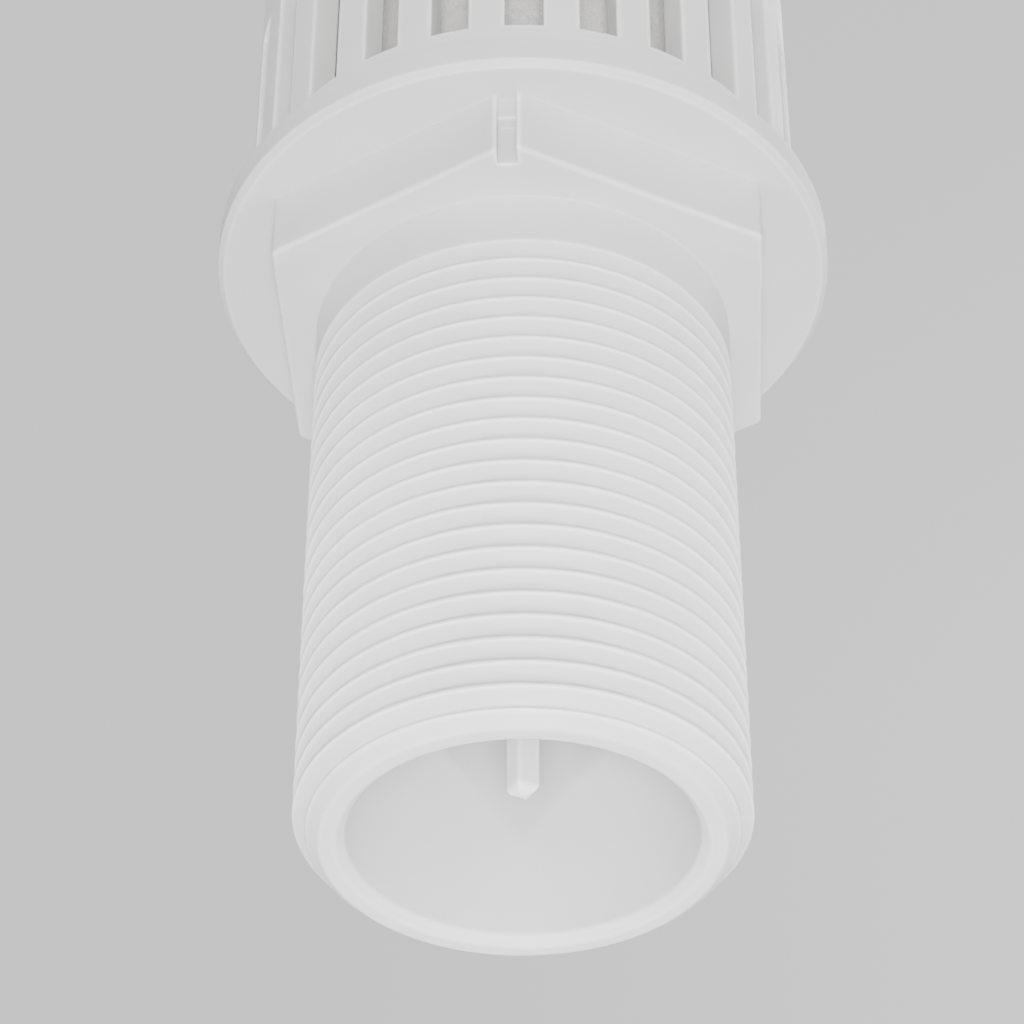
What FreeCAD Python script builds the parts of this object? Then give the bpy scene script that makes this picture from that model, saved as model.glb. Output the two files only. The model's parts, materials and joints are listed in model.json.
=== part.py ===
import FreeCAD
import Part
import math
import os
import re
import Sketcher

from FreeCAD import Placement, Rotation, Vector

# Adjustable exhaust muffler with a long threaded inlet tube.
# Frame: +Z runs up the tube's axis from the open mouth to the knob, and the
# origin is the centre of the mouth's end face. -Y is the side of the notched
# hexagon corner. All sizes are in millimetres.

doc = FreeCAD.newDocument("Muffler")
sheet = doc.addObject("Spreadsheet::Sheet", "Sizes")

SIZES = {
    # inlet tube
    "thread_dia": 25.0,        # outside of the thread
    "thread_pitch": 1.5,
    "thread_depth": 0.92,
    "crest_flat": 0.19,        # flat left on each ridge
    "groove_count": 22,
    "first_groove": 1.04,      # middle of the lowest groove
    "tube_length": 36.7,       # mouth to hexagon
    "bore_dia": 19.2,
    "bore_edge": 0.5,          # broken edge of the bore at the mouth
    "mouth_chamfer": 1.5,
    "mouth_round": 0.3,        # rounding of the mouth's three edges
    "upper_bore_dia": 18.0,
    "bore_step": 18.0,         # height of the shoulder that stops the spider
    # hexagon and flange
    "hex_across": 29.0,
    "hex_height": 4.5,
    "hex_turn": -93.0,         # direction of the notched corner, degrees
    "hex_corner": 0.6,         # rounding of the six upright corners
    "hex_edge": 0.25,          # rounding of the lower face's rim
    "flange_dia": 37.5,
    "flange_height": 2.5,
    "flange_edge": 0.4,
    "notch_width": 1.15,
    "notch_shift": 0.15,       # notch's middle from the corner, sideways
    "notch_depth": 1.65,
    "notch_upper_depth": 0.85,
    "notch_step": 2.95,        # height of the notch's deep part
    # throttle seat
    "seat_dia": 21.0,
    "seat_height": 3.0,
    "seat_bore": 11.0,
    "seat_lip_dia": 15.0,
    "seat_lip_wall": 1.0,
    "seat_lip_height": 1.6,
    "seal_wire": 1.0,          # section of the seat's O-ring
    "seal_room": 0.2,          # spare depth and width of an O-ring groove
    "seal_play": 0.03,         # gap outside an O-ring or wire ring as drawn
    # guide spider in the tube
    "spider_height": 3.0,
    "spider_rim": 1.3,
    "spider_hub_dia": 5.0,
    "spider_arm": 1.5,
    "spider_arms": 3,
    "ring_wire": 0.8,          # section of the spider's retaining ring
    # spindle and plug
    "tang_side": 1.32,
    "tang_turn": 29.0,
    "tang_tip": 3.4,           # height of the tang's end inside the mouth
    "tang_length": 19.0,
    "tang_round": 0.6,
    "tang_play": 0.05,         # gap on each face of the tang
    "stem_dia": 3.0,
    "collar_dia": 5.0,
    "collar_height": 1.0,
    "screw_dia": 4.0,          # threaded upper part of the spindle
    "screw_length": 18.5,
    "screw_drop": 1.2,         # from the knob's underside down to the screw's end
    "screw_edge": 0.4,
    "plug_dia": 14.0,
    "plug_land": 2.0,          # straight part below the cone
    "plug_cone": 4.8,
    "plug_top_dia": 5.2,
    "plug_travel": 3.5,
    "plug_gap": 0.15,          # left at the seat when closed
    "nut_across": 5.5,
    "nut_height": 2.4,
    # silencing elements
    "gasket": 0.8,
    "element_length": 17.0,
    "core_bore": 15.2,
    "core_wall": 0.8,
    "core_hole": 2.2,
    "core_holes": 8,
    "core_rows": 5,
    "core_row_pitch": 3.2,
    "sleeve_wall": 2.4,
    "felt_wall": 1.5,
    "layer_gap": 0.1,
    # slotted guard
    "guard_dia": 34.0,
    "guard_wall": 1.9,
    "guard_ring": 2.6,         # closed ring below and above the slots
    "guard_slots": 24,
    "guard_slot": 2.3,
    # cap and its screws
    "cap_height": 3.0,
    "cap_edge": 0.8,
    "boss_dia": 12.0,
    "boss_height": 2.0,
    "spigot_dia": 15.0,
    "spigot_wall": 1.0,
    "spigot_height": 1.6,
    "journal_dia": 9.0,
    "journal_play": 0.05,
    "screws": 3,
    "screw_circle": 27.8,
    "tie_dia": 1.96,
    "tie_head": 3.6,
    "tie_head_height": 1.1,
    "tie_slot": 0.5,
    "tie_play": 0.02,
    "head_play": 0.12,
    "insert_dia": 3.2,
    "insert_height": 4.0,
    # knob
    "knob_lift": 0.4,          # gap between the boss and the knob
    "knob_dia": 17.0,
    "knob_height": 8.5,
    "knob_edge": 0.8,
    "knob_flutes": 18,
    "knob_flute": 1.9,
    "knob_room_dia": 7.0,      # hollow above the spindle
    "cover_dia": 10.0,
    "cover_height": 1.2,
    "bush_dia": 6.2,
    "bush_play": 0.05,
    "knob_seal_wire": 0.8,
    "washer_height": 0.5,
    "washer_dia": 12.4,
    "clip_height": 0.6,
    "clip_dia": 11.4,
    "clip_grip": 0.6,          # depth of the clip's groove in the journal
    "clip_gap": 6.4,
    "journal_end": 0.5,        # journal left below the clip
    "bush_rise": 1.4,          # height of the bush above the knob's underside
    "cover_vent": 1.0,         # breather hole in the knob's cover
}

for row, (name, value) in enumerate(SIZES.items(), 1):
    sheet.set(f"A{row}", name)
    sheet.set(f"B{row}", str(value))
    sheet.setAlias(f"B{row}", name)

# Heights that several pieces share, worked out in the sheet itself.
LEVELS = {
    "hex_top": "tube_length + hex_height",
    "deck": "hex_top + flange_height",
    "seat_base": "deck - seat_height",
    "element_base": "deck + gasket",
    "element_top": "element_base + element_length",
    "cap_base": "element_top + gasket",
    "cap_top": "cap_base + cap_height",
    "boss_top": "cap_top + boss_height",
    "knob_base": "boss_top + knob_lift",
    "knob_top": "knob_base + knob_height",
    "screw_end": "knob_base - screw_drop",
    "screw_start": "screw_end - screw_length",
    "washer_base": "cap_base - washer_height",
    "clip_base": "washer_base - clip_height",
    "journal_base": "clip_base - journal_end",
    "bush_top": "knob_base + bush_rise",
    "knob_seal": "(cap_base + cap_top) / 2",
    "tang_end": "tang_tip + tang_length",
    "cone_slope": "(plug_dia - plug_top_dia) / 2 / plug_cone",
    "plug_seated": "seat_base - plug_gap - (plug_dia - seat_bore) / 2 / cone_slope",
    "plug_base": "plug_seated - plug_travel - plug_land",
    "plug_top": "plug_base + plug_land + plug_cone",
    "core_dia": "core_bore + 2 * core_wall",
    "sleeve_bore": "core_dia + 2 * layer_gap",
    "sleeve_dia": "sleeve_bore + 2 * sleeve_wall",
    "felt_bore": "sleeve_dia + 2 * layer_gap",
    "felt_dia": "felt_bore + 2 * felt_wall",
    "spider_base": "bore_step - spider_height",
    "hex_radius": "hex_across / 2 / cos(30)",
}
for row, (name, formula) in enumerate(LEVELS.items(), len(SIZES) + 1):
    sheet.set(f"A{row}", name)
    sheet.set(f"B{row}", "=" + formula)
    sheet.setAlias(f"B{row}", name)
doc.recompute()

KNOWN = set(SIZES) | set(LEVELS)


def bound(formula):
    """A formula in the sheet's words, written so that another object can use it."""
    return re.sub(
        r"[a-z_]+", lambda m: "Sizes." + m.group() if m.group() in KNOWN else m.group(), formula
    )


def size(formula):
    """The present value of a formula in the sheet's words."""
    value = sheet.evalExpression(formula)
    return float(getattr(value, "Value", value))


def new_body(label):
    body = doc.addObject("PartDesign::Body", label)
    body.Label = label
    return body


def origin_part(body, role):
    return next(part for part in body.Origin.OriginFeatures if part.Role == role)


def new_sketch(body, plane="XZ_Plane", height=None, turn=None):
    """A sketch on one of the body's own origin planes, lifted and turned if asked."""
    sketch = body.newObject("Sketcher::SketchObject", f"{body.Label}_sketch")
    sketch.AttachmentSupport = [(origin_part(body, plane), "")]
    sketch.MapMode = "FlatFace"
    if turn is not None:
        sketch.AttachmentOffset = Placement(Vector(), Rotation(Vector(0, 0, 1), size(turn)))
        sketch.setExpression("AttachmentOffset.Rotation.Angle", bound(turn))
    if height is not None:
        sketch.setExpression("AttachmentOffset.Base.z", bound(height))
    return sketch


def hold(sketch, kind, geometry, point, formula):
    """Ties one coordinate of a point, measured from the sketch's origin, to a formula."""
    index = sketch.addConstraint(
        Sketcher.Constraint(kind, -1, 1, geometry, point, size(formula))
    )
    sketch.setExpression(f"Constraints[{index}]", bound(formula))


def draw_outline(sketch, corners):
    """A closed outline through corners, each given as two formulas."""
    spots = [Vector(size(across), size(along), 0) for across, along in corners]
    first = sketch.GeometryCount
    for start, end in zip(spots, spots[1:] + spots[:1]):
        sketch.addGeometry(Part.LineSegment(start, end))
    count = len(corners)
    for step, (across, along) in enumerate(corners):
        line = first + step
        after = first + (step + 1) % count
        sketch.addConstraint(Sketcher.Constraint("Coincident", line, 2, after, 1))
        hold(sketch, "DistanceX", line, 1, across)
        hold(sketch, "DistanceY", line, 1, along)


def draw_circle(sketch, across, along, diameter):
    """A circle whose centre and diameter are formulas."""
    centre = Vector(size(across), size(along), 0)
    index = sketch.addGeometry(Part.Circle(centre, Vector(0, 0, 1), size(diameter) / 2))
    hold(sketch, "DistanceX", index, 3, across)
    hold(sketch, "DistanceY", index, 3, along)
    rule = sketch.addConstraint(Sketcher.Constraint("Diameter", index, size(diameter)))
    sketch.setExpression(f"Constraints[{rule}]", bound(diameter))


def box_corners(low, high, left, right):
    return [(left, low), (right, low), (right, high), (left, high)]


def turned(body, outline, kind="PartDesign::Revolution"):
    """Turns an outline of (radius, height) formulas about the axis, adding or cutting."""
    sketch = new_sketch(body)
    draw_outline(sketch, outline)
    feature = body.newObject(kind, f"{body.Label}_turned")
    feature.Profile = sketch
    feature.ReferenceAxis = (sketch, ["V_Axis"])
    feature.Angle = 360
    doc.recompute()
    return feature


def raised(body, sketch, length, kind="PartDesign::Pad", both_ways=False, down=False):
    """Pads or pockets a sketch by a length given as a formula."""
    feature = body.newObject(kind, f"{body.Label}_raised")
    feature.Profile = sketch
    feature.Midplane = both_ways
    feature.Reversed = down
    feature.setExpression("Length", bound(length))
    doc.recompute()
    return feature


def repeated_round(body, features, count):
    """Repeats features evenly round the axis."""
    pattern = body.newObject("PartDesign::PolarPattern", f"{body.Label}_round")
    pattern.Originals = features
    pattern.Axis = (origin_part(body, "Z_Axis"), [""])
    pattern.Angle = 360
    pattern.setExpression("Occurrences", bound(count))
    body.Tip = pattern
    doc.recompute()
    return pattern


def repeated_up(body, features, count, length):
    """Repeats features evenly along the axis over a length."""
    pattern = body.newObject("PartDesign::LinearPattern", f"{body.Label}_up")
    pattern.Originals = features
    pattern.Direction = (origin_part(body, "Z_Axis"), [""])
    pattern.setExpression("Length", bound(length))
    pattern.setExpression("Occurrences", bound(count))
    body.Tip = pattern
    doc.recompute()
    return pattern


def rounded(body, radius, wanted):
    """Rounds the edges whose ends, as (distance from the axis, height), are all wanted."""
    base = body.Tip
    edges = [
        f"Edge{number}"
        for number, edge in enumerate(base.Shape.Edges, 1)
        if wanted([(math.hypot(end.X, end.Y), end.Z) for end in edge.Vertexes])
    ]
    feature = body.newObject("PartDesign::Fillet", f"{body.Label}_rounded")
    feature.Base = (base, edges)
    feature.setExpression("Radius", bound(radius))
    body.Tip = feature
    doc.recompute()
    return feature


def near(value, other):
    return abs(value - other) < 1e-6


def cuts(body, before, what):
    """Stops the build if the last cut took nothing away."""
    if not body.Shape.Volume < before - 1e-4:
        raise RuntimeError(f"{body.Label}: {what} cut nothing")


def ring(label, inner, outer, low, high):
    """A plain ring between two diameters and two heights."""
    body = new_body(label)
    turned(body, box_corners(low, high, f"({inner}) / 2", f"({outer}) / 2"))
    return body


def wire_ring(label, middle, wire, height):
    """A round-section ring: an O-ring or a retaining wire."""
    piece = doc.addObject("Part::Torus", label)
    piece.Label = label
    piece.setExpression("Radius1", bound(f"({middle}) / 2"))
    piece.setExpression("Radius2", bound(f"({wire}) / 2"))
    piece.setExpression("Placement.Base.z", bound(height))
    doc.recompute()
    return piece


def draw_hexagon(sketch, across):
    """A hexagon with two corners on the sketch's X axis."""
    corner = f"{across} / 2 / cos(30)"
    flat = f"{across} / 2"
    draw_outline(
        sketch,
        [
            (corner, "0"),
            (f"{corner} / 2", flat),
            (f"-{corner} / 2", flat),
            (f"-{corner}", "0"),
            (f"-{corner} / 2", f"-{flat}"),
            (f"{corner} / 2", f"-{flat}"),
        ],
    )


# ---------------------------------------------------------------- static pieces


def connector_body():
    """Threaded tube, hexagon and flange in one moulding."""
    body = new_body("connector_body")
    outer = "thread_dia / 2"
    seat_hole = "seat_dia / 2"
    turned(
        body,
        [
            ("bore_dia / 2 + bore_edge", "0"),
            ("thread_dia / 2 - mouth_chamfer", "0"),
            (outer, "mouth_chamfer"),
            (outer, "hex_top"),
            ("flange_dia / 2 - flange_edge", "hex_top"),
            ("flange_dia / 2", "hex_top + flange_edge"),
            ("flange_dia / 2", "deck - flange_edge"),
            ("flange_dia / 2 - flange_edge", "deck"),
            (seat_hole, "deck"),
            (seat_hole, "seat_base"),
            ("upper_bore_dia / 2", "seat_base"),
            ("upper_bore_dia / 2", "bore_step"),
            ("bore_dia / 2", "bore_step"),
            ("bore_dia / 2", "spider_base"),
            ("bore_dia / 2 + ring_wire / 2", "spider_base"),
            ("bore_dia / 2 + ring_wire / 2", "spider_base - ring_wire"),
            ("bore_dia / 2", "spider_base - ring_wire"),
            ("bore_dia / 2", "bore_edge"),
        ],
    )

    mouth = [
        (size("thread_dia / 2 - mouth_chamfer"), 0.0),
        (size("bore_dia / 2 + bore_edge"), 0.0),
        (size("bore_dia / 2"), size("bore_edge")),
    ]
    rounded(
        body,
        "mouth_round",
        lambda ends: any(
            all(near(across, rim) and near(height, level) for across, height in ends)
            for rim, level in mouth
        ),
    )

    hexagon = new_sketch(body, "XY_Plane", "tube_length", "hex_turn")
    draw_hexagon(hexagon, "hex_across")
    draw_circle(hexagon, "0", "0", "(seat_dia + thread_dia) / 2")
    raised(body, hexagon, "hex_height")

    # Round the upright corners first, then the rim of the lower face.
    corner = size("hex_radius")
    rounded(
        body,
        "hex_corner",
        lambda ends: len(ends) == 2
        and all(near(across, corner) for across, height in ends)
        and not near(ends[0][1], ends[1][1]),
    )
    foot = size("tube_length")
    flat = size("hex_across") / 2
    rounded(
        body,
        "hex_edge",
        lambda ends: all(near(height, foot) and across > flat for across, height in ends),
    )

    # Notch in one corner, deeper near the hexagon's lower face.
    for low, high, depth in (
        ("tube_length", "tube_length + notch_step", "notch_depth"),
        ("tube_length + notch_step", "hex_top", "notch_upper_depth"),
    ):
        before = body.Shape.Volume
        notch = new_sketch(body, "XY_Plane", low, "hex_turn")
        draw_outline(
            notch,
            box_corners(
                "-notch_shift - notch_width / 2",
                "notch_width / 2 - notch_shift",
                f"hex_radius - {depth}",
                "hex_radius + 1",
            ),
        )
        raised(body, notch, f"{high} - ({low})", "PartDesign::Pocket", down=True)
        cuts(body, before, "notch")

    # One hole for each tie screw's insert, over every other hexagon corner.
    before = body.Shape.Volume
    hole = new_sketch(body, "XY_Plane", "deck", "hex_turn + 60")
    draw_circle(hole, "screw_circle / 2", "0", "insert_dia")
    first = raised(body, hole, "insert_height", "PartDesign::Pocket")
    repeated_round(body, [first], "screws")
    cuts(body, before, "insert holes")

    # Thread: evenly spaced V grooves that leave flat ridges.
    before = body.Shape.Volume
    inner = "thread_dia / 2 - thread_depth"
    past = "thread_depth / 4"
    half = "(thread_pitch - crest_flat) / 2"
    lean = "tan(30)"
    groove = turned(
        body,
        [
            (inner, f"first_groove - {half} + thread_depth * {lean}"),
            (f"{outer} + {past}", f"first_groove - {half} - {past} * {lean}"),
            (f"{outer} + {past}", f"first_groove + {half} + {past} * {lean}"),
            (inner, f"first_groove + {half} - thread_depth * {lean}"),
        ],
        "PartDesign::Groove",
    )
    repeated_up(body, [groove], "groove_count", "(groove_count - 1) * thread_pitch")
    cuts(body, before, "thread")
    return body


def threaded_inserts():
    """Brass inserts in the flange that take the tie screws."""
    body = new_body("threaded_inserts")
    sketch = new_sketch(body, "XY_Plane", "deck", "hex_turn + 60")
    draw_circle(sketch, "screw_circle / 2", "0", "insert_dia")
    draw_circle(sketch, "screw_circle / 2", "0", "tie_dia + 2 * tie_play")
    first = raised(body, sketch, "insert_height", down=True)
    repeated_round(body, [first], "screws")
    return body


def seat_ring():
    """Throttle seat in the flange's counterbore, with an O-ring groove round it."""
    body = new_body("seat_ring")
    outer = "seat_dia / 2"
    floor = "seat_dia / 2 - seal_wire - seal_room / 4"
    low = "seat_base + (seat_height - seal_wire - seal_room) / 2"
    high = "seat_base + (seat_height + seal_wire + seal_room) / 2"
    turned(
        body,
        [
            ("seat_bore / 2", "seat_base"),
            (outer, "seat_base"),
            (outer, low),
            (floor, low),
            (floor, high),
            (outer, high),
            (outer, "deck"),
            ("seat_lip_dia / 2", "deck"),
            ("seat_lip_dia / 2", "deck + seat_lip_height"),
            ("seat_lip_dia / 2 - seat_lip_wall", "deck + seat_lip_height"),
            ("seat_lip_dia / 2 - seat_lip_wall", "deck"),
            ("seat_bore / 2", "deck"),
        ],
    )
    return body


def guide_spider():
    """Three-armed guide in the tube. Its square hole stops the spindle turning."""
    body = new_body("guide_spider")
    turned(
        body,
        box_corners("spider_base", "bore_step", "bore_dia / 2 - spider_rim", "bore_dia / 2"),
    )
    arm = new_sketch(body, "XY_Plane", "spider_base")
    draw_outline(
        arm,
        box_corners("-spider_arm / 2", "spider_arm / 2", "0", "bore_dia / 2 - spider_rim / 2"),
    )
    first = raised(body, arm, "spider_height")
    repeated_round(body, [first], "spider_arms")
    hub = new_sketch(body, "XY_Plane", "spider_base")
    draw_circle(hub, "0", "0", "spider_hub_dia")
    raised(body, hub, "spider_height")
    before = body.Shape.Volume
    hole = new_sketch(body, "XY_Plane", "bore_step", "tang_turn")
    half = "tang_side / 2 + tang_play"
    draw_outline(hole, box_corners(f"-({half})", half, f"-({half})", half))
    raised(body, hole, "spider_height", "PartDesign::Pocket")
    cuts(body, before, "square hole")
    return body


def support_tube():
    """Perforated tube that carries the silencing layers."""
    body = new_body("support_tube")
    turned(body, box_corners("element_base", "element_top", "core_bore / 2", "core_dia / 2"))
    before = body.Shape.Volume
    holes = new_sketch(body, "YZ_Plane")
    middle = "element_base + element_length / 2"
    rows = int(size("core_rows"))
    for row in range(rows):
        offset = f"({row} - (core_rows - 1) / 2) * core_row_pitch"
        draw_circle(holes, "0", f"{middle} + {offset}", "core_hole")
    first = raised(body, holes, "core_dia", "PartDesign::Pocket", down=True)
    repeated_round(body, [first], "core_holes")
    cuts(body, before, "holes")
    return body


def outer_guard():
    """Slotted guard round the silencing layers."""
    body = new_body("outer_guard")
    turned(
        body,
        box_corners("deck", "cap_base", "guard_dia / 2 - guard_wall", "guard_dia / 2"),
    )
    before = body.Shape.Volume
    slot = new_sketch(body, "YZ_Plane")
    draw_outline(
        slot,
        box_corners(
            "deck + guard_ring", "cap_base - guard_ring", "-guard_slot / 2", "guard_slot / 2"
        ),
    )
    first = raised(body, slot, "guard_dia", "PartDesign::Pocket", down=True)
    repeated_round(body, [first], "guard_slots")
    cuts(body, before, "slots")
    return body


def head_cap():
    """Cap over the guard, with the knob's bearing boss and a spigot for the core."""
    body = new_body("head_cap")
    bearing = "journal_dia / 2"
    spigot = "spigot_dia / 2"
    turned(
        body,
        [
            (bearing, "cap_base"),
            (f"{spigot} - spigot_wall", "cap_base"),
            (f"{spigot} - spigot_wall", "cap_base - spigot_height"),
            (spigot, "cap_base - spigot_height"),
            (spigot, "cap_base"),
            ("guard_dia / 2", "cap_base"),
            ("guard_dia / 2", "cap_top - cap_edge"),
            ("guard_dia / 2 - cap_edge", "cap_top"),
            ("boss_dia / 2", "cap_top"),
            ("boss_dia / 2", "boss_top"),
            (bearing, "boss_top"),
        ],
    )
    before = body.Shape.Volume
    cut = []
    for diameter, depth in (
        ("tie_dia + 2 * head_play", "cap_height"),
        ("tie_head + 2 * head_play", "tie_head_height + head_play"),
    ):
        hole = new_sketch(body, "XY_Plane", "cap_top", "hex_turn + 60")
        draw_circle(hole, "screw_circle / 2", "0", diameter)
        cut.append(raised(body, hole, depth, "PartDesign::Pocket"))
    repeated_round(body, cut, "screws")
    cuts(body, before, "screw holes")
    return body


def tie_screws():
    """Slotted screws that clamp the cap, layers and guard to the flange."""
    body = new_body("tie_screws")
    seat = "cap_top - tie_head_height - head_play"
    shank = new_sketch(body, "XY_Plane", seat, "hex_turn + 60")
    draw_circle(shank, "screw_circle / 2", "0", "tie_dia")
    features = [raised(body, shank, f"{seat} - deck + insert_height", down=True)]
    head = new_sketch(body, "XY_Plane", seat, "hex_turn + 60")
    draw_circle(head, "screw_circle / 2", "0", "tie_head")
    features.append(raised(body, head, "tie_head_height"))
    before = body.Shape.Volume
    slot = new_sketch(body, "XY_Plane", f"{seat} + tie_head_height", "hex_turn + 60")
    reach = "screw_circle / 2"
    draw_outline(
        slot,
        box_corners("-tie_slot / 2", "tie_slot / 2", f"{reach} - tie_head", f"{reach} + tie_head"),
    )
    features.append(raised(body, slot, "tie_head_height / 2", "PartDesign::Pocket"))
    cuts(body, before, "driver slot")
    repeated_round(body, features, "screws")
    return body


# ------------------------------------------------------------- sliding spindle


def throttle_spindle():
    """Square guide tang, stem, collar and screw of the throttle in one moulding."""
    body = new_body("throttle_spindle")
    tang = new_sketch(body, "XY_Plane", "tang_tip", "tang_turn")
    half = "tang_side / 2"
    draw_outline(tang, box_corners(f"-{half}", half, f"-{half}", half))
    raised(body, tang, "tang_length")
    tip = size("tang_tip")
    rounded(body, "tang_round", lambda ends: all(near(height, tip) for across, height in ends))
    stem = "stem_dia / 2"
    collar = "collar_dia / 2"
    screw = "screw_dia / 2"
    turned(
        body,
        [
            ("0", "tang_end"),
            (stem, "tang_end"),
            (stem, "plug_top"),
            (collar, "plug_top"),
            (collar, "plug_top + collar_height"),
            (stem, "plug_top + collar_height"),
            (stem, "screw_start"),
            (screw, "screw_start"),
            (screw, "screw_end - screw_edge"),
            (f"{screw} - screw_edge", "screw_end"),
            ("0", "screw_end"),
        ],
    )
    return body


def throttle_plug():
    """Cone that closes the seat from below."""
    body = new_body("throttle_plug")
    turned(
        body,
        [
            ("stem_dia / 2", "plug_base"),
            ("plug_dia / 2", "plug_base"),
            ("plug_dia / 2", "plug_base + plug_land"),
            ("plug_top_dia / 2", "plug_top"),
            ("stem_dia / 2", "plug_top"),
        ],
    )
    return body


def plug_nut():
    """Nut that holds the plug against the spindle's collar."""
    body = new_body("plug_nut")
    sketch = new_sketch(body, "XY_Plane", "plug_base")
    draw_hexagon(sketch, "nut_across")
    draw_circle(sketch, "0", "0", "stem_dia")
    raised(body, sketch, "nut_height", down=True)
    return body


# ---------------------------------------------------------------- turning knob


def adjusting_knob():
    """Fluted knob whose hollow journal turns in the cap."""
    body = new_body("adjusting_knob")
    journal = "journal_dia / 2 - journal_play"
    neck = f"{journal} - clip_grip"
    seal_floor = f"{journal} - knob_seal_wire - seal_room / 4"
    seal_low = "knob_seal - knob_seal_wire / 2 - seal_room / 2"
    seal_high = "knob_seal + knob_seal_wire / 2 + seal_room / 2"
    rim = "knob_dia / 2"
    turned(
        body,
        [
            ("bush_dia / 2", "journal_base"),
            (journal, "journal_base"),
            (journal, "clip_base"),
            (neck, "clip_base"),
            (neck, "washer_base"),
            (journal, "washer_base"),
            (journal, seal_low),
            (seal_floor, seal_low),
            (seal_floor, seal_high),
            (journal, seal_high),
            (journal, "knob_base"),
            (f"{rim} - knob_edge", "knob_base"),
            (rim, "knob_base + knob_edge"),
            (rim, "knob_top - knob_edge"),
            (f"{rim} - knob_edge", "knob_top"),
            ("cover_dia / 2", "knob_top"),
            ("cover_dia / 2", "knob_top - cover_height"),
            ("knob_room_dia / 2", "knob_top - cover_height"),
            ("knob_room_dia / 2", "bush_top"),
            ("bush_dia / 2", "bush_top"),
        ],
    )
    before = body.Shape.Volume
    flute = new_sketch(body, "XY_Plane", "knob_top")
    draw_circle(flute, "knob_dia / 2 + knob_flute / 4", "0", "knob_flute")
    first = raised(body, flute, "knob_height", "PartDesign::Pocket")
    repeated_round(body, [first], "knob_flutes")
    cuts(body, before, "flutes")
    return body


def knob_clip():
    """Open clip that keeps the knob in the cap."""
    inner = "journal_dia - 2 * journal_play - 2 * clip_grip"
    body = ring("knob_clip", inner, "clip_dia", "clip_base", "washer_base")
    before = body.Shape.Volume
    gap = new_sketch(body, "XY_Plane", "washer_base")
    draw_outline(gap, box_corners("-clip_gap / 2", "clip_gap / 2", "0", "clip_dia"))
    raised(body, gap, "clip_height", "PartDesign::Pocket")
    cuts(body, before, "clip gap")
    return body


pieces = [
    connector_body(),
    threaded_inserts(),
    seat_ring(),
    wire_ring(
        "seat_seal", "seat_dia - seal_wire - 2 * seal_play", "seal_wire",
        "seat_base + seat_height / 2",
    ),
    guide_spider(),
    wire_ring(
        "spider_retaining_ring", "bore_dia - 2 * seal_play", "ring_wire",
        "spider_base - ring_wire / 2",
    ),
    ring("base_gasket", "core_bore", "felt_dia", "deck", "element_base"),
    support_tube(),
    ring("sintered_sleeve", "sleeve_bore", "sleeve_dia", "element_base", "element_top"),
    ring("felt_wrap", "felt_bore", "felt_dia", "element_base", "element_top"),
    ring("cap_gasket", "core_bore", "felt_dia", "element_top", "cap_base"),
    outer_guard(),
    head_cap(),
    tie_screws(),
    ring(
        "thrust_washer", "journal_dia + 2 * journal_play", "washer_dia", "washer_base", "cap_base"
    ),
    throttle_spindle(),
    throttle_plug(),
    plug_nut(),
    adjusting_knob(),
    ring("knob_bush", "screw_dia + 2 * bush_play", "bush_dia", "journal_base", "bush_top"),
    wire_ring(
        "knob_seal", "journal_dia - knob_seal_wire - journal_play", "knob_seal_wire", "knob_seal"
    ),
    ring("knob_cover", "cover_vent", "cover_dia", "knob_top - cover_height", "knob_top"),
    knob_clip(),
]
doc.recompute()

faults = [
    thing.Name for thing in doc.Objects if "Invalid" in thing.State or "Error" in thing.State
]
for piece in pieces:
    if piece.Shape.isNull() or not piece.Shape.isValid():
        faults.append(piece.Label)
if faults:
    raise RuntimeError("failed: " + ", ".join(faults))

os.makedirs("parts", exist_ok=True)
for piece in pieces:
    piece.Shape.exportStep(f"parts/{piece.Label}.step")
    solids = len(piece.Shape.Solids)
    print(f"{piece.Label:24s} {solids:2d} solids {piece.Shape.Volume:10.2f} mm3")
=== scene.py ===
import json
import math

import bpy
from mathutils import Matrix, Vector


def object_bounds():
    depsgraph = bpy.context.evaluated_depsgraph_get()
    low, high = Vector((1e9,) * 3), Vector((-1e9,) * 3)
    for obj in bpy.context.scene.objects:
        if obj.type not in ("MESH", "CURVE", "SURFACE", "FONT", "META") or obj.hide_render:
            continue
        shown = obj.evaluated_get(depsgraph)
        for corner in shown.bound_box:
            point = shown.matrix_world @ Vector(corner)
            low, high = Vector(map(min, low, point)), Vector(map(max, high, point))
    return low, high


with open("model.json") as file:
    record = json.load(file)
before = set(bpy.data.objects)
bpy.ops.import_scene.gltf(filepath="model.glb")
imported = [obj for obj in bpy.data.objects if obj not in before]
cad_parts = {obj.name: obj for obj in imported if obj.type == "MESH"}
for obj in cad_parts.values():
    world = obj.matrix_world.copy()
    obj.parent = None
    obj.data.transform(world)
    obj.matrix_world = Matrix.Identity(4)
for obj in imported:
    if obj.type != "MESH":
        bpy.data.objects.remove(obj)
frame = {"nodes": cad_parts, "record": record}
cad_low, cad_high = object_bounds()

MM = 0.001


# ------------------------------------------------------------------ node helpers


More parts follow.
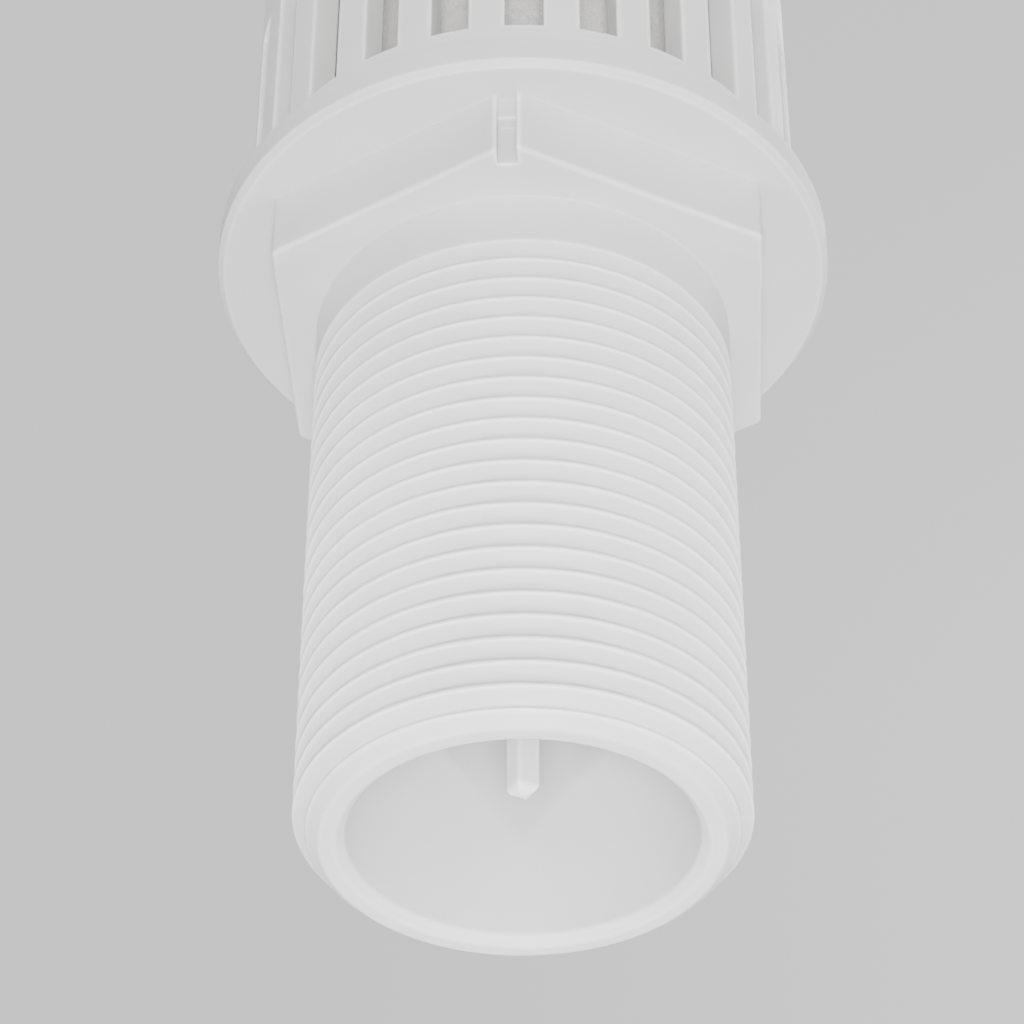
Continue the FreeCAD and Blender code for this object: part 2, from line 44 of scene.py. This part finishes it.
class Graph:
    """A material's node tree with short ways to add and join nodes."""

    def __init__(self, name):
        self.material = bpy.data.materials.new(name)
        self.material.use_nodes = True
        self.tree = self.material.node_tree
        self.shader = self.tree.nodes["Principled BSDF"]
        where = self.add("ShaderNodeTexCoord")
        self.place = where.outputs["Object"]

    def add(self, kind, **settings):
        node = self.tree.nodes.new(kind)
        for key, value in settings.items():
            setattr(node, key, value)
        return node

    def join(self, source, target):
        self.tree.links.new(source, target)

    def noise(self, scale, detail=2.0, rough=0.5, distortion=0.0, stretch=None):
        """Noise in object space. Scale is in features per metre."""
        node = self.add("ShaderNodeTexNoise")
        node.inputs["Scale"].default_value = scale
        node.inputs["Detail"].default_value = detail
        node.inputs["Roughness"].default_value = rough
        node.inputs["Distortion"].default_value = distortion
        self.join(self.stretched(stretch), node.inputs["Vector"])
        return node.outputs["Fac"]

    def cells(self, scale, output="Distance"):
        node = self.add("ShaderNodeTexVoronoi")
        node.inputs["Scale"].default_value = scale
        self.join(self.place, node.inputs["Vector"])
        return node.outputs[output]

    def stretched(self, factors):
        if factors is None:
            return self.place
        node = self.add("ShaderNodeMapping")
        node.inputs["Scale"].default_value = factors
        self.join(self.place, node.inputs["Vector"])
        return node.outputs["Vector"]

    def spread(self, value, from_low, from_high, to_low, to_high):
        """Maps a range of values onto another, held inside its ends."""
        node = self.add("ShaderNodeMapRange")
        for slot, number in zip(
            ("From Min", "From Max", "To Min", "To Max"), (from_low, from_high, to_low, to_high)
        ):
            node.inputs[slot].default_value = number
        self.join(value, node.inputs["Value"])
        return node.outputs["Result"]

    def mix(self, factor, first, second, blend="MIX"):
        """Mixes two colours, each a socket or an (r, g, b) triple."""
        node = self.add("ShaderNodeMix", data_type="RGBA", blend_type=blend)
        ends = [s for s in node.inputs if s.type == "RGBA"]
        for socket, colour in zip(ends, (first, second)):
            if isinstance(colour, tuple):
                socket.default_value = (*colour, 1.0)
            else:
                self.join(colour, socket)
        if isinstance(factor, float):
            node.inputs["Factor"].default_value = factor
        else:
            self.join(factor, node.inputs["Factor"])
        return next(s for s in node.outputs if s.type == "RGBA")

    def math(self, operation, first, second):
        node = self.add("ShaderNodeMath", operation=operation)
        for socket, value in zip(node.inputs, (first, second)):
            if isinstance(value, (int, float)):
                socket.default_value = value
            else:
                self.join(value, socket)
        return node.outputs["Value"]

    def edges(self, radius):
        """1 on sharp edges and 0 on open faces, with the normal rounded by the radius."""
        bevel = self.add("ShaderNodeBevel", samples=6)
        bevel.inputs["Radius"].default_value = radius
        face = self.add("ShaderNodeNewGeometry")
        dot = self.add("ShaderNodeVectorMath", operation="DOT_PRODUCT")
        self.join(bevel.outputs["Normal"], dot.inputs[0])
        self.join(face.outputs["Normal"], dot.inputs[1])
        edge = self.spread(dot.outputs["Value"], 0.998, 0.86, 0.0, 1.0)
        return edge, bevel.outputs["Normal"]

    def thin_rims(self, distance):
        """1 where the solid is thin below the surface, as at outward edges and crests."""
        node = self.add("ShaderNodeAmbientOcclusion", samples=6, inside=True, only_local=True)
        node.inputs["Distance"].default_value = distance
        return self.spread(node.outputs["AO"], 0.94, 0.45, 0.0, 1.0)

    def bump(self, height, strength, distance, normal=None):
        node = self.add("ShaderNodeBump")
        node.inputs["Strength"].default_value = strength
        node.inputs["Distance"].default_value = distance
        self.join(height, node.inputs["Height"])
        if normal is not None:
            self.join(normal, node.inputs["Normal"])
        return node.outputs["Normal"]

    def finish(self, colour, roughness, normal=None, metallic=0.0):
        self.join(colour, self.shader.inputs["Base Color"])
        self.join(roughness, self.shader.inputs["Roughness"])
        if normal is not None:
            self.join(normal, self.shader.inputs["Normal"])
        self.shader.inputs["Metallic"].default_value = metallic
        self.shader.inputs["IOR"].default_value = 1.5
        return self.material


def moulded_plastic(name, tone, grain=1.0):
    """Off-white moulded plastic: faint mottling, fine satin grain, and a painted highlight on
    edges and crests that also paints light into the thread roots.
    """
    g = Graph(name)
    clouds = g.noise(160.0, 3.0, 0.55)
    speckle = g.noise(5200.0, 2.0, 0.6)
    dark = tuple(v * 0.955 for v in tone)
    base = g.mix(g.spread(clouds, 0.35, 0.65, 0.0, 1.0), dark, tone)
    base = g.mix(g.spread(speckle, 0.62, 0.74, 0.0, 0.10), base, tuple(v * 0.85 for v in tone))
    # Painted highlight: the edge and crest mask mixes the colour toward near-white in noisy
    # patches. Through its bevel part it also paints light into the thread roots.
    edge, soft = g.edges(0.20 * MM)
    highlight_patches = g.noise(900.0, 3.0, 0.6)
    highlight_mask = g.math("MAXIMUM", g.math("MULTIPLY", edge, 0.45), g.thin_rims(0.34 * MM))
    painted_edge_light = g.math("MULTIPLY", highlight_mask, g.spread(highlight_patches, 0.30, 0.60, 0.75, 1.0))
    base = g.mix(painted_edge_light, base, PAINTED_HIGHLIGHT_WHITE)
    rough = g.spread(g.noise(420.0, 4.0, 0.6), 0.3, 0.7, 0.40, 0.56)
    fine = g.noise(9000.0, 2.0, 0.5)
    normal = g.bump(fine, 0.16 * grain, 0.03 * MM, soft)
    broad = g.noise(700.0, 2.0, 0.5)
    normal = g.bump(broad, 0.10 * grain, 0.05 * MM, normal)
    g.shader.inputs["Subsurface Weight"].default_value = 0.35
    g.shader.inputs["Subsurface Radius"].default_value = (1.0, 1.0, 1.0)
    g.shader.inputs["Subsurface Scale"].default_value = 0.5 * MM
    return g.finish(base, rough, normal)


def turned_metal(name, tone, dark_tone):
    """Machined metal with fine rings round the axis and faint tarnish."""
    g = Graph(name)
    rings = g.noise(900.0, 3.0, 0.6, stretch=(0.25, 0.25, 14.0))
    tarnish = g.noise(500.0, 4.0, 0.6)
    edge, soft = g.edges(0.10 * MM)
    base = g.mix(g.spread(tarnish, 0.45, 0.72, 0.0, 0.7), tone, dark_tone)
    base = g.mix(g.math("MULTIPLY", edge, 0.5), base, tuple(min(1.0, v * 1.15) for v in tone))
    rough = g.spread(rings, 0.3, 0.7, 0.22, 0.38)
    normal = g.bump(rings, 0.15, 0.02 * MM, soft)
    return g.finish(base, rough, normal, metallic=1.0)


def sintered_bronze(name):
    """Granules of bronze fused together, with dark pores between them."""
    g = Graph(name)
    grains = g.cells(3600.0)
    tint = g.cells(3600.0, "Color")
    hue = g.mix(0.12, (0.50, 0.36, 0.21), tint)
    base = g.mix(g.spread(grains, 0.38, 0.62, 0.0, 0.85), hue, (0.10, 0.07, 0.045))
    rough = g.spread(g.noise(3000.0), 0.3, 0.7, 0.42, 0.70)
    height = g.spread(grains, 0.0, 0.6, 1.0, 0.0)
    return g.finish(base, rough, g.bump(height, 0.9, 0.12 * MM), 0.75)


def fibre_felt(name):
    """Pressed felt: short tangled fibres and soft lumps."""
    g = Graph(name)
    fibres = g.noise(3800.0, 6.0, 0.72, 1.6)
    lumps = g.noise(420.0, 3.0, 0.5)
    base = g.mix(g.spread(fibres, 0.35, 0.65, 0.0, 1.0), (0.52, 0.51, 0.48), (0.80, 0.79, 0.76))
    base = g.mix(g.spread(lumps, 0.4, 0.7, 0.0, 0.35), base, (0.60, 0.59, 0.56))
    rough = g.spread(fibres, 0.3, 0.7, 0.85, 0.98)
    normal = g.bump(fibres, 0.9, 0.12 * MM)
    normal = g.bump(lumps, 0.4, 0.25 * MM, normal)
    return g.finish(base, rough, normal)


def seal_rubber(name, tone, dust):
    """Moulded rubber with a fine matte skin and a little pale dust."""
    g = Graph(name)
    bloom = g.noise(700.0, 4.0, 0.65)
    base = g.mix(g.spread(bloom, 0.48, 0.75, 0.0, 0.5), tone, dust)
    rough = g.spread(g.noise(1600.0, 3.0), 0.3, 0.7, 0.55, 0.8)
    return g.finish(base, rough, g.bump(g.noise(6000.0, 3.0), 0.25, 0.03 * MM))


def perforated_steel(name):
    """Bright sheet steel with fine drawing lines along the tube."""
    g = Graph(name)
    drawn = g.noise(1500.0, 3.0, 0.6, stretch=(8.0, 8.0, 0.3))
    base = g.mix(g.spread(drawn, 0.3, 0.7, 0.0, 1.0), (0.46, 0.46, 0.47), (0.66, 0.66, 0.67))
    rough = g.spread(drawn, 0.3, 0.7, 0.25, 0.45)
    return g.finish(base, rough, g.bump(drawn, 0.2, 0.02 * MM), 1.0)


BODY_WHITE = (0.68, 0.68, 0.677)
HEAD_WHITE = (0.72, 0.72, 0.715)
SPINDLE_WHITE = (0.80, 0.80, 0.795)
# Near-white of the painted highlight on plastic edges and crests, also painted into the thread
# roots.
PAINTED_HIGHLIGHT_WHITE = (0.99, 0.99, 0.985)

MATERIALS = {
    "moulded_white": moulded_plastic("body_plastic", BODY_WHITE),
    "guard_white": moulded_plastic("head_plastic", HEAD_WHITE),
    "spindle_white": moulded_plastic("spindle_plastic", SPINDLE_WHITE, grain=0.6),
    "brass_turned": turned_metal("brass", (0.80, 0.60, 0.30), (0.42, 0.29, 0.13)),
    "steel_plated": turned_metal("plated_steel", (0.66, 0.67, 0.68), (0.40, 0.40, 0.41)),
    "steel_perforated": perforated_steel("perforated_steel"),
    "bronze_sintered": sintered_bronze("sintered_bronze"),
    "felt_fibre": fibre_felt("felt"),
    "seal_rubber": seal_rubber("rubber", (0.020, 0.020, 0.021), (0.09, 0.09, 0.088)),
    "gasket_fibre": seal_rubber("gasket_sheet", (0.16, 0.16, 0.155), (0.27, 0.27, 0.26)),
}


def dress_frame():
    """Gives every CAD node the material of its slot."""
    slots = {row["node"]: row["material_slot"] for row in frame["record"]["subparts"]}
    for name, node in frame["nodes"].items():
        for slot in node.material_slots:
            slot.material = MATERIALS[slots[name]]


# ------------------------------------------------------------------------ stage


FLOOR_HALF = 14.0      # half its width, so wide that its far edge stays faint
FLOOR_HEIGHT = -0.62   # below the lamps
MOUTH = (0.0, 0.001, 0.001)  # just inside the open end
WALL_GREY = 0.505      # as seen by the camera
SOFT_GREY = 0.34       # as it lights the part


def plain_surface(name, tone):
    """Smooth paint with a barely uneven tone."""
    g = Graph(name)
    base = g.mix(g.noise(3.0, 2.0), tuple(v * 0.985 for v in tone), tone)
    rough = g.spread(g.noise(40.0), 0.3, 0.7, 0.75, 0.85)
    return g.finish(base, rough)


def add_floor():
    """Plain pale floor, well below the muffler because its thread holds it up."""
    half = FLOOR_HALF
    around = ((-half, -half), (half, -half), (half, half), (-half, half))
    corners = [(x, y, FLOOR_HEIGHT) for x, y in around]
    mesh = bpy.data.meshes.new("floor")
    mesh.from_pydata(corners, [], [(0, 1, 2, 3)])
    floor = bpy.data.objects.new("floor", mesh)
    bpy.context.scene.collection.objects.link(floor)
    mesh.materials.append(plain_surface("floor_paint", (0.80, 0.80, 0.80)))


def aim_lamp(lamp, position, target):
    """Puts a lamp in the scene and turns it towards its target."""
    holder = bpy.data.objects.new(lamp.name, lamp)
    bpy.context.scene.collection.objects.link(holder)
    holder.location = position
    aim = Vector(target) - Vector(position)
    holder.rotation_mode = "QUATERNION"
    holder.rotation_quaternion = aim.to_track_quat("-Z", "Y")


def add_light(name, position, target, size, power):
    """A round soft lamp."""
    lamp = bpy.data.lights.new(name, "AREA")
    lamp.shape = "DISK"
    lamp.size = size
    lamp.energy = power
    aim_lamp(lamp, position, target)


def add_snoot(name, position, width, power):
    """A narrow lamp held on the mouth. Width is the beam's angle in degrees."""
    lamp = bpy.data.lights.new(name, "SPOT")
    lamp.spot_size = math.radians(width)
    lamp.spot_blend = 0.35
    lamp.shadow_soft_size = 0.03
    lamp.energy = power
    aim_lamp(lamp, position, MOUTH)


def add_lights():
    """A soft key beside the viewer, lamps on the mouth, and an even light from above."""
    middle = (cad_low + cad_high) / 2
    add_light("key", (0.0, -0.43, -0.33), middle, 0.14, 2.6)
    add_light("fill", (0.50, -0.20, -0.08), middle, 0.40, 0.45)
    add_light("top", (0.10, 0.25, 0.60), middle, 0.60, 3.0)
    add_snoot("mouth_front", (0.0, -0.36, -0.34), 2.2, 15.0)
    add_snoot("mouth_left", (-0.36, -0.18, -0.30), 2.8, 21.0)
    add_snoot("mouth_right", (0.36, -0.18, -0.30), 2.8, 19.0)
    sun = bpy.data.lights.new("ceiling", "SUN")
    sun.angle = math.radians(60)
    sun.energy = 1.1
    aim_lamp(sun, (0.0, 0.0, 1.5), (0.0, 0.0, 0.0))


def ramp(tree, value, low, high, top):
    """Rises from 0 at low to top at high."""
    node = tree.nodes.new("ShaderNodeMapRange")
    node.inputs["From Min"].default_value = low
    node.inputs["From Max"].default_value = high
    node.inputs["To Max"].default_value = top
    tree.links.new(value, node.inputs["Value"])
    return node.outputs["Result"]


def set_world():
    """Pale studio walls. They light the part less than they show."""
    world = bpy.data.worlds.new("studio")
    bpy.context.scene.world = world
    world.use_nodes = True
    tree = world.node_tree
    link = tree.links.new
    where = tree.nodes.new("ShaderNodeTexCoord")
    axes = tree.nodes.new("ShaderNodeSeparateXYZ")
    link(where.outputs["Generated"], axes.inputs["Vector"])
    # A soft glow low on the right, over an even grey.
    glow = tree.nodes.new("ShaderNodeMath")
    glow.operation = "MULTIPLY_ADD"
    link(ramp(tree, axes.outputs["X"], -0.06, 0.16, 0.095), glow.inputs[0])
    link(ramp(tree, axes.outputs["Z"], 0.76, 0.58, 1.0), glow.inputs[1])
    glow.inputs[2].default_value = WALL_GREY
    walls = tree.nodes["Background"]
    link(glow.outputs["Value"], walls.inputs["Color"])
    soft = tree.nodes.new("ShaderNodeBackground")
    soft.inputs["Color"].default_value = (SOFT_GREY, SOFT_GREY, SOFT_GREY, 1.0)
    rays = tree.nodes.new("ShaderNodeLightPath")
    pick = tree.nodes.new("ShaderNodeMixShader")
    link(rays.outputs["Is Camera Ray"], pick.inputs["Fac"])
    link(soft.outputs["Background"], pick.inputs[1])
    link(walls.outputs["Background"], pick.inputs[2])
    link(pick.outputs["Shader"], tree.nodes["World Output"].inputs["Surface"])


def add_camera():
    """Looks up at the mouth from in front and below, as the photograph does."""
    place = Vector((-0.64, -150.5, -99.3)) * MM
    tilt = math.radians(39.17)
    roll = math.radians(0.14)
    lens = bpy.data.cameras.new("camera")
    lens.sensor_width = 36.0
    lens.lens = 117.3
    lens.clip_start = 0.01
    lens.clip_end = 20.0
    camera = bpy.data.objects.new("camera", lens)
    bpy.context.scene.collection.objects.link(camera)
    turn = Matrix.Rotation(math.pi / 2 + tilt, 4, "X") @ Matrix.Rotation(roll, 4, "Z")
    camera.matrix_world = Matrix.Translation(place) @ turn
    bpy.context.scene.camera = camera


dress_frame()
add_floor()
add_lights()
set_world()
add_camera()
view = bpy.context.scene.view_settings
view.view_transform = "AgX"
view.exposure = 0.95
